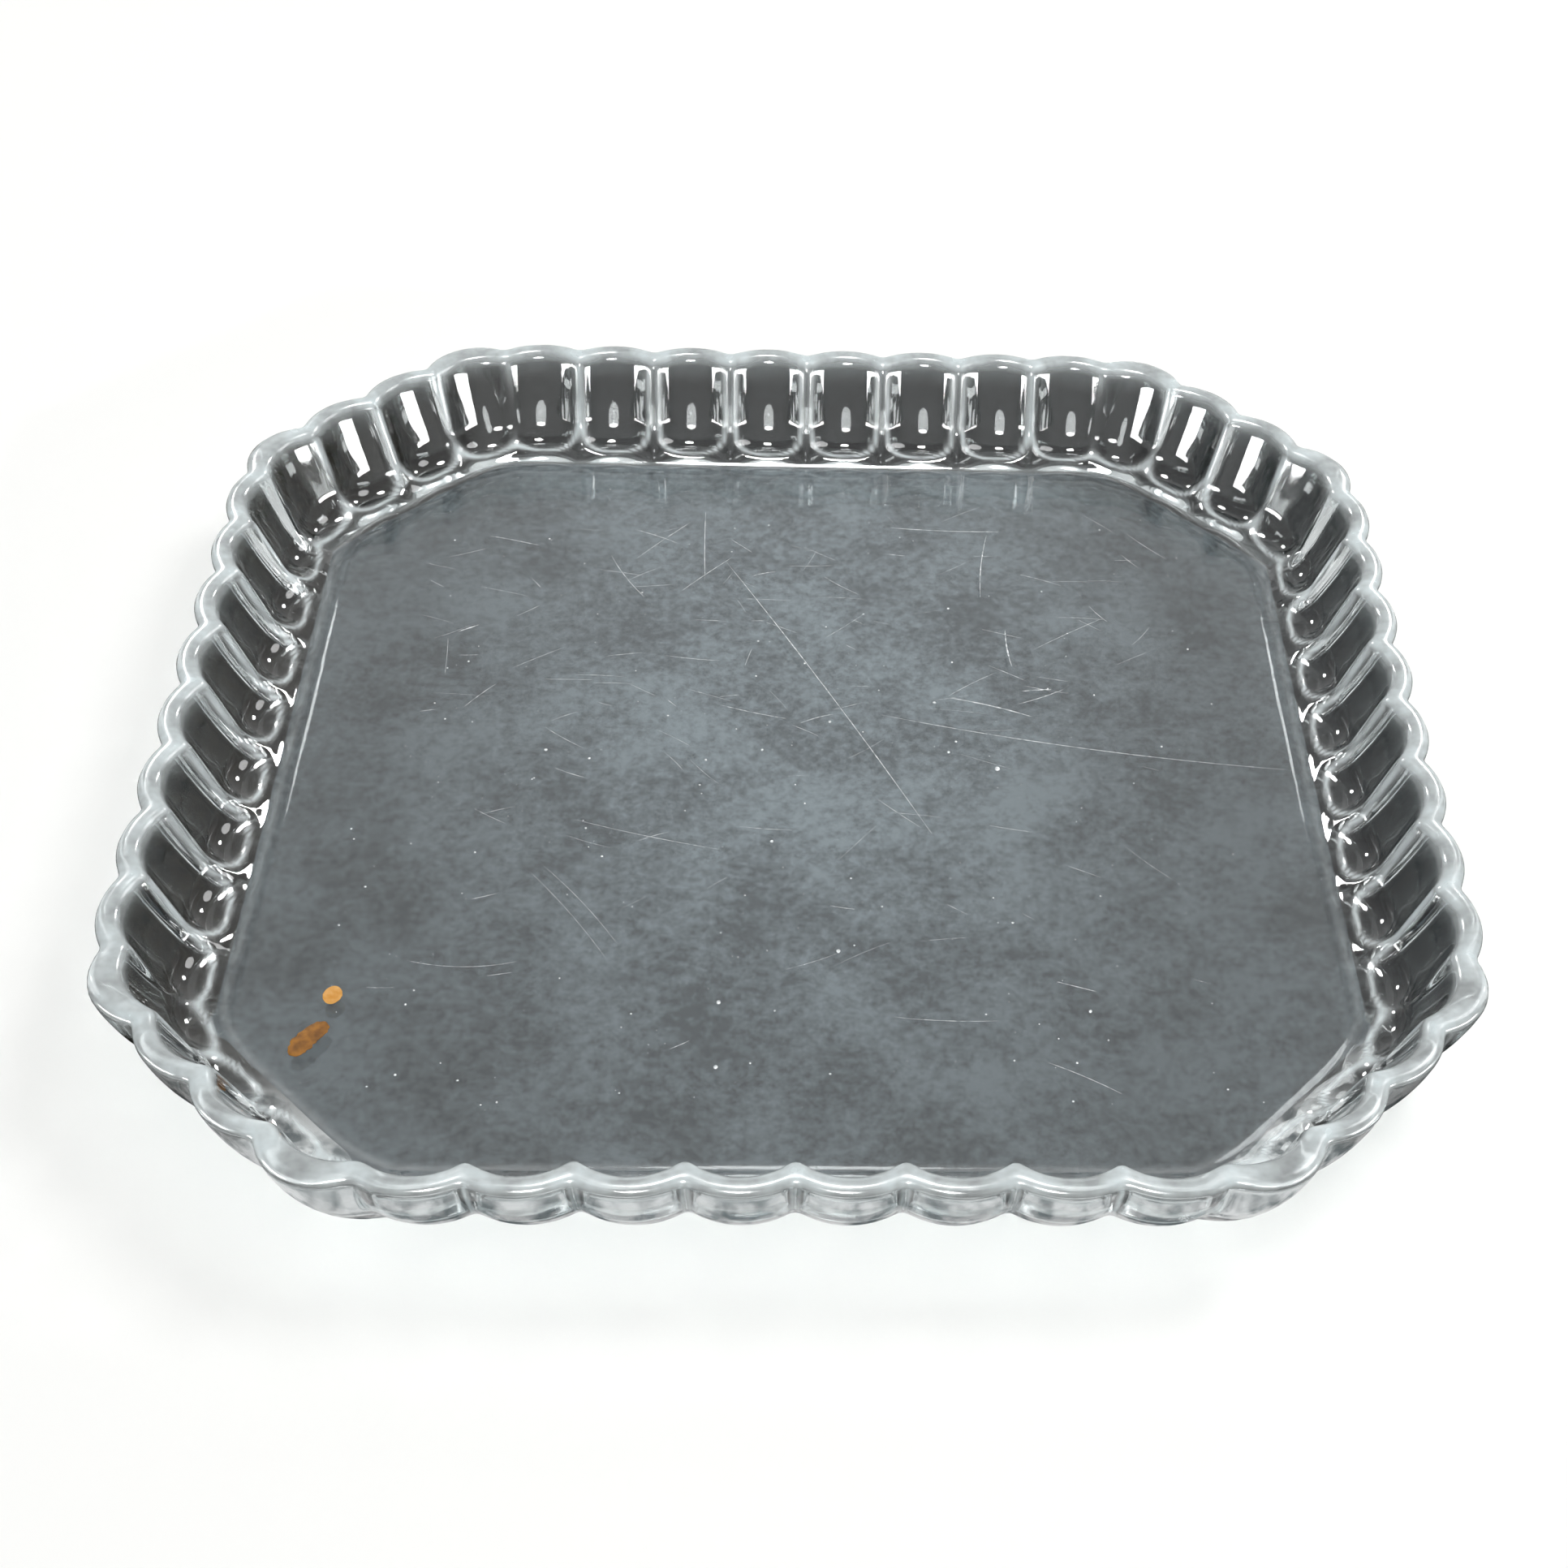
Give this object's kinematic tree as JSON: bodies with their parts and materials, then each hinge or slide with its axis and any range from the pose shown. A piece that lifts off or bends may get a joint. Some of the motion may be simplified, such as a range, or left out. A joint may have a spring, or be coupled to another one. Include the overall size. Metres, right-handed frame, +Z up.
{
  "type": "tart pan",
  "caption": "Shallow square glass tart and cake dish with cut corners, a flat floor and a fluted flaring wall, open at the top",
  "frame": {"origin": "middle of the flat underside, at table height", "axes": "+Z up out of the open top; the four long sides face +X, -X, +Y and -Y, and the front as usually looked at faces -Y"},
  "size_m": [0.3054, 0.3054, 0.029],
  "materials": {
    "clear_glass": "pressed, fire-polished soda-lime glass with table wear on the floor"
  },
  "bodies": {
    "root": {"tart_dish": "clear_glass"}
  },
  "joints": []
}
